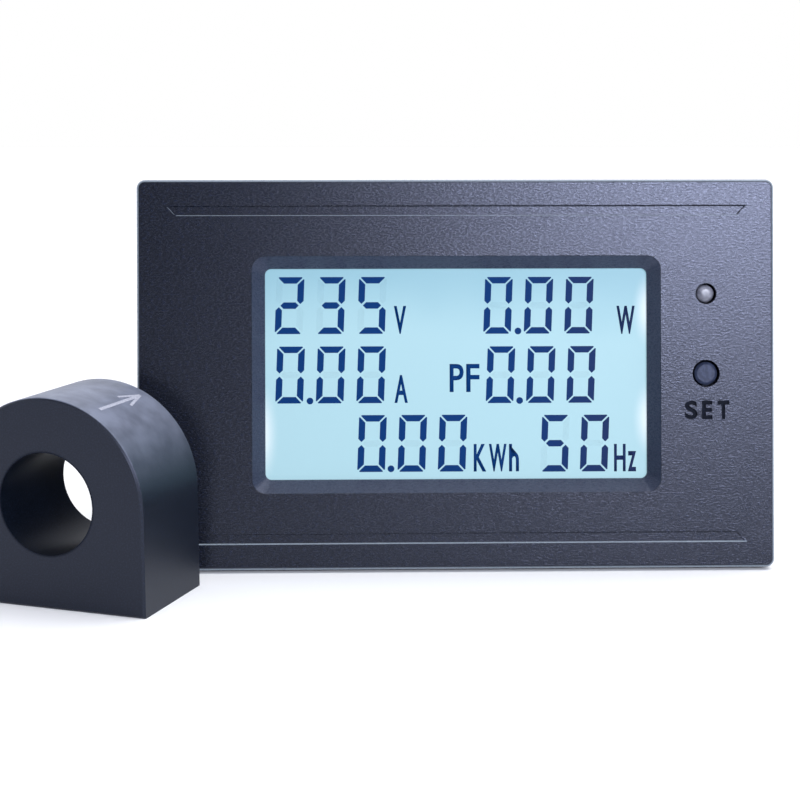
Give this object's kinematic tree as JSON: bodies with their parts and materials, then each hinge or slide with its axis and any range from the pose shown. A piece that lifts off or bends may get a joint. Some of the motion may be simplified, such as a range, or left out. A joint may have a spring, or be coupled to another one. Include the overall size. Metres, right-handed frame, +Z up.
{
  "type": "panel power meter",
  "caption": "Landscape panel meter with a bevelled backlit display, set button and rear screw terminals, and its D shaped ring current transformer standing beside it.",
  "frame": {"origin": "on the table under the middle of the whole, meter and transformer together", "axes": "+X to the right along the meter's long side as its display is read, +Y away from the reader, +Z up from the table; the meter leans back about X as in the picture"},
  "size_m": [0.112, 0.0508, 0.0549],
  "materials": {
    "case_abs": "fine spark-textured moulded ABS, charcoal",
    "button_abs": "smooth moulded ABS, charcoal",
    "lens_epoxy": "clear cast epoxy",
    "tinned_wire": "tinned wire",
    "polariser_film": "lit grey-blue film",
    "display_glass": "soda-lime glass",
    "diffuser_film": "matt white film",
    "light_guide_acrylic": "clear acrylic",
    "white_moulding": "white moulded plastic",
    "contact_rubber": "layered silicone rubber",
    "board_laminate": "glass-epoxy laminate with green mask",
    "chip_epoxy": "moulded black epoxy",
    "nickel_can": "plain metal can",
    "film_case": "moulded capacitor case",
    "varistor_coat": "dipped epoxy coat",
    "resistor_coat": "cement coat",
    "terminal_nylon": "moulded black nylon",
    "terminal_brass": "bright brass",
    "zinc_steel": "zinc-plated steel",
    "screw_steel": "black-finished steel",
    "ring_case_abs": "textured moulded plastic, near black",
    "core_steel": "wound silicon steel strip",
    "winding_copper": "enamelled copper wire",
    "potting_resin": "black potting resin",
    "bush_rubber": "moulded rubber"
  },
  "bodies": {
    "meter": {"front_shell": "case_abs", "back_cover": "case_abs", "indicator_lens": "lens_epoxy", "indicator_leads": "tinned_wire", "lcd_front_polariser": "polariser_film", "lcd_front_glass": "display_glass", "lcd_rear_glass": "display_glass", "lcd_rear_polariser": "polariser_film", "diffuser_film": "diffuser_film", "light_guide": "light_guide_acrylic", "reflector_film": "diffuser_film", "backlight_leds": "white_moulding", "lcd_carrier": "white_moulding", "contact_strips": "contact_rubber", "switch_body": "chip_epoxy", "main_board": "board_laminate", "board_screws": "zinc_steel", "microcontroller": "chip_epoxy", "metering_chip": "chip_epoxy", "crystal": "nickel_can", "film_capacitor": "film_case", "electrolytic_capacitors": "nickel_can", "varistor": "varistor_coat", "fuse_resistor": "resistor_coat", "bridge_rectifier": "chip_epoxy", "chip_resistors": "chip_epoxy", "terminal_block": "terminal_nylon", "terminal_plates": "terminal_brass", "cover_screws": "screw_steel"},
    "button": {"set_button": "button_abs"},
    "plunger": {"switch_plunger": "button_abs"},
    "clamp_1": {"clamp_washer_1": "zinc_steel"},
    "screw_1": {"terminal_screw_1": "zinc_steel"},
    "clamp_2": {"clamp_washer_2": "zinc_steel"},
    "screw_2": {"terminal_screw_2": "zinc_steel"},
    "clamp_3": {"clamp_washer_3": "zinc_steel"},
    "screw_3": {"terminal_screw_3": "zinc_steel"},
    "clamp_4": {"clamp_washer_4": "zinc_steel"},
    "screw_4": {"terminal_screw_4": "zinc_steel"},
    "transformer": {"transformer_case": "ring_case_abs", "transformer_core": "core_steel", "transformer_winding": "winding_copper", "transformer_resin": "potting_resin", "lead_bush": "bush_rubber"}
  },
  "joints": [
    {"name": "set_press", "type": "slide", "parent": "meter", "child": "button", "axis": [0, 0.9911, -0.133], "range_m": [0, 0.00025], "stiffness_N_per_m": 4000},
    {"name": "plunger_press", "type": "slide", "parent": "meter", "child": "plunger", "axis": [0, 0.9911, -0.133], "range_m": [0, 0.00025], "stiffness_N_per_m": 400},
    {"name": "clamp_lift_1", "type": "slide", "parent": "meter", "child": "clamp_1", "axis": [0, 0.9911, -0.133], "range_m": [0, 0.0025]},
    {"name": "screw_turn_1", "type": "hinge", "parent": "clamp_1", "child": "screw_1", "pos_m": [-0.00249, 0.01431, 0.01321], "axis": [0, 0.9911, -0.133], "range_deg": [0, 1804]},
    {"name": "clamp_lift_2", "type": "slide", "parent": "meter", "child": "clamp_2", "axis": [0, 0.9911, -0.133], "range_m": [0, 0.0025]},
    {"name": "screw_turn_2", "type": "hinge", "parent": "clamp_2", "child": "screw_2", "pos_m": [0.00651, 0.01431, 0.01321], "axis": [0, 0.9911, -0.133], "range_deg": [0, 1804]},
    {"name": "clamp_lift_3", "type": "slide", "parent": "meter", "child": "clamp_3", "axis": [0, 0.9911, -0.133], "range_m": [0, 0.0025]},
    {"name": "screw_turn_3", "type": "hinge", "parent": "clamp_3", "child": "screw_3", "pos_m": [0.01551, 0.01431, 0.01321], "axis": [0, 0.9911, -0.133], "range_deg": [0, 1804]},
    {"name": "clamp_lift_4", "type": "slide", "parent": "meter", "child": "clamp_4", "axis": [0, 0.9911, -0.133], "range_m": [0, 0.0025]},
    {"name": "screw_turn_4", "type": "hinge", "parent": "clamp_4", "child": "screw_4", "pos_m": [0.02451, 0.01431, 0.01321], "axis": [0, 0.9911, -0.133], "range_deg": [0, 1804]},
    {"name": "transformer_lift", "type": "slide", "parent": "meter", "child": "transformer", "axis": [0, 0, 1], "range_m": [0, 0.06]}
  ],
  "couplings": [
    {"joint": "plunger_press", "follows": "set_press", "ratio": 1},
    {"joint": "screw_turn_1", "follows": "clamp_lift_1", "rad_per_m": 12566},
    {"joint": "screw_turn_2", "follows": "clamp_lift_2", "rad_per_m": 12566},
    {"joint": "screw_turn_3", "follows": "clamp_lift_3", "rad_per_m": 12566},
    {"joint": "screw_turn_4", "follows": "clamp_lift_4", "rad_per_m": 12566}
  ]
}
